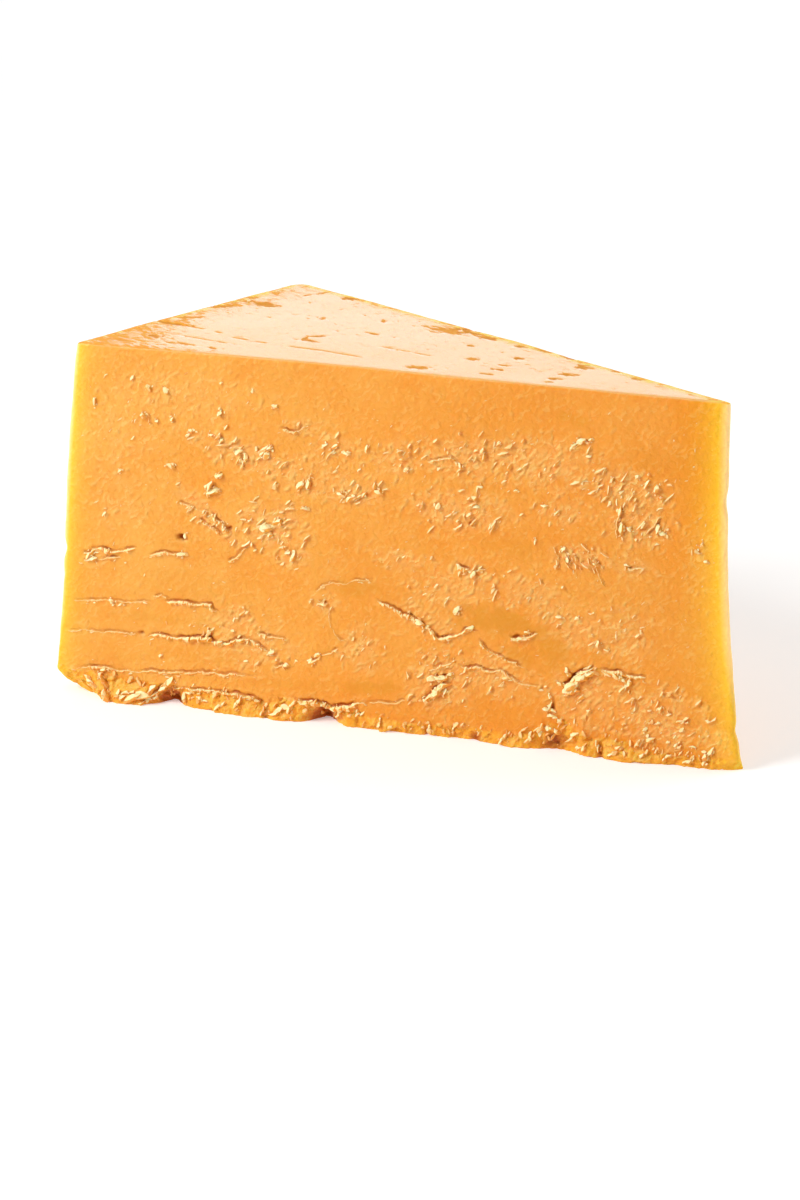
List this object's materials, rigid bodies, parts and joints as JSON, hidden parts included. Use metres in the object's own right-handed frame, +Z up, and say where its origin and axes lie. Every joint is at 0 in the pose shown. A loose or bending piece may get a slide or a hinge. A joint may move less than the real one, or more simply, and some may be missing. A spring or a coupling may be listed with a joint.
{
  "type": "cheddar cheese wedge",
  "caption": "Rindless wedge of orange cheddar-type cheese, cut corner to corner from a block, with a torn crumbly cut face, a smooth top and a flat foot.",
  "frame": {"origin": "On the surface the wedge stands on, under the middle of its footprint's bounding box", "axes": "+Z up, +X along the long torn cut face towards its thin end, +Y from the cut face towards the square back corner, so the cut face looks along -Y"},
  "size_m": [0.1625, 0.0715, 0.0853],
  "materials": {
    "cheese": "Orange cheddar: soft, slightly oily and translucent, satin where it is cut or torn, glossy on the smooth top"
  },
  "bodies": {
    "root": {"cheese_wedge": "cheese"}
  },
  "joints": []
}
